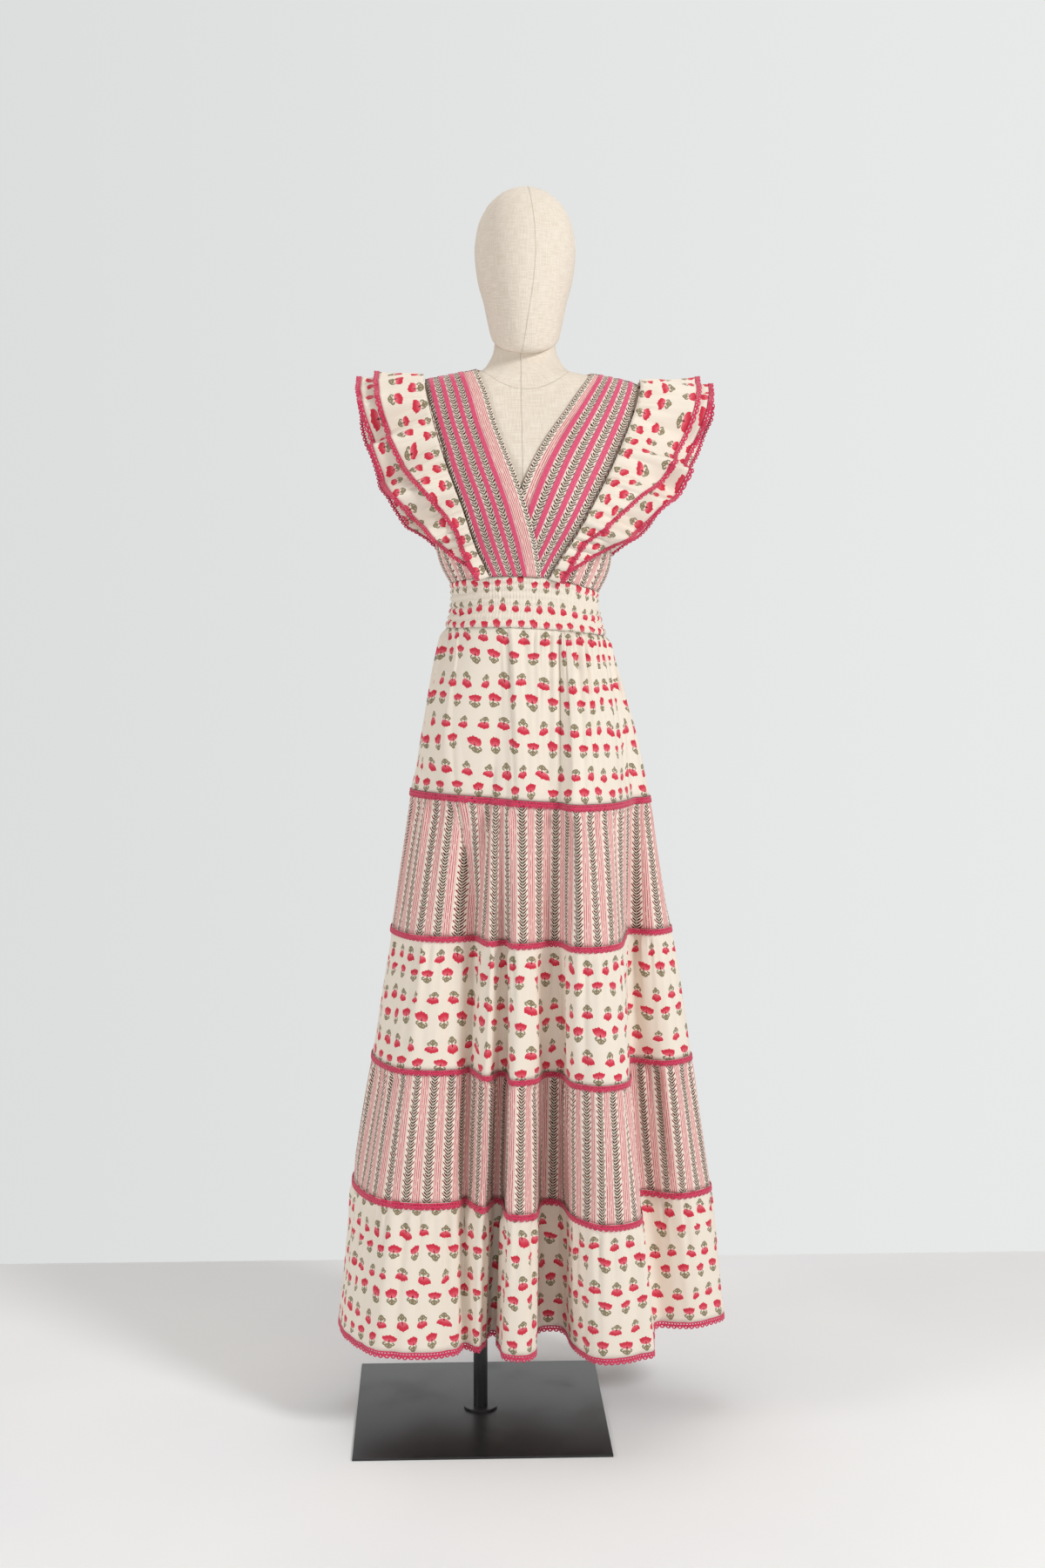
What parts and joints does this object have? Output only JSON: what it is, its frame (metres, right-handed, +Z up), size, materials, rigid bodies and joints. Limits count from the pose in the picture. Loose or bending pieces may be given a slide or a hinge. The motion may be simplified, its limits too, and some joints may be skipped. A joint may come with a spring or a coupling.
{
  "type": "maxi dress on a dress form",
  "caption": "Tiered maxi dress with a wrap front, smocked waist and ruffled shoulders, worn by a limbless dress form on a steel stand.",
  "frame": {"origin": "centre of the base plate's underside, on the pole's axis", "axes": "+Z up along the pole, the front of the dress faces -Y, +X to the viewer's right"},
  "size_m": [0.5494, 0.4127, 1.7],
  "materials": {
    "black_steel": "black powder-coated steel, satin",
    "linen": "natural linen stretched over the form",
    "floral_cotton": "cream cotton voile with a block-printed repeat of pink flowers and olive leaves",
    "striped_cotton": "cream cotton voile with printed vine stripes and fine rose pinstripes",
    "pink_lace": "crimson pink crochet lace with a scalloped edge",
    "pink_ribbon": "woven pink picot ribbon"
  },
  "bodies": {
    "root": {"back_panel": "striped_cotton", "base_plate": "black_steel", "form_head": "linen", "form_torso": "linen", "front_panel_left": "striped_cotton", "front_panel_right": "striped_cotton", "hem_lace": "pink_lace", "pole": "black_steel", "pole_collar": "black_steel", "ribbon_left_1": "pink_ribbon", "ribbon_left_2": "pink_ribbon", "ribbon_left_3": "pink_ribbon", "ribbon_left_4": "pink_ribbon", "ribbon_right_1": "pink_ribbon", "ribbon_right_2": "pink_ribbon", "ribbon_right_3": "pink_ribbon", "ribbon_right_4": "pink_ribbon", "ruffle_lower_left": "floral_cotton", "ruffle_lower_left_lace": "pink_lace", "ruffle_lower_right": "floral_cotton", "ruffle_lower_right_lace": "pink_lace", "ruffle_upper_left": "floral_cotton", "ruffle_upper_left_lace": "pink_lace", "ruffle_upper_right": "floral_cotton", "ruffle_upper_right_lace": "pink_lace", "seam_lace_1": "pink_lace", "seam_lace_2": "pink_lace", "seam_lace_3": "pink_lace", "seam_lace_4": "pink_lace", "side_back_left": "striped_cotton", "side_back_right": "striped_cotton", "side_front_left": "striped_cotton", "side_front_right": "striped_cotton", "skirt_tier_1": "floral_cotton", "skirt_tier_2": "striped_cotton", "skirt_tier_3": "floral_cotton", "skirt_tier_4": "striped_cotton", "skirt_tier_5": "floral_cotton", "waistband": "floral_cotton"}
  },
  "joints": []
}
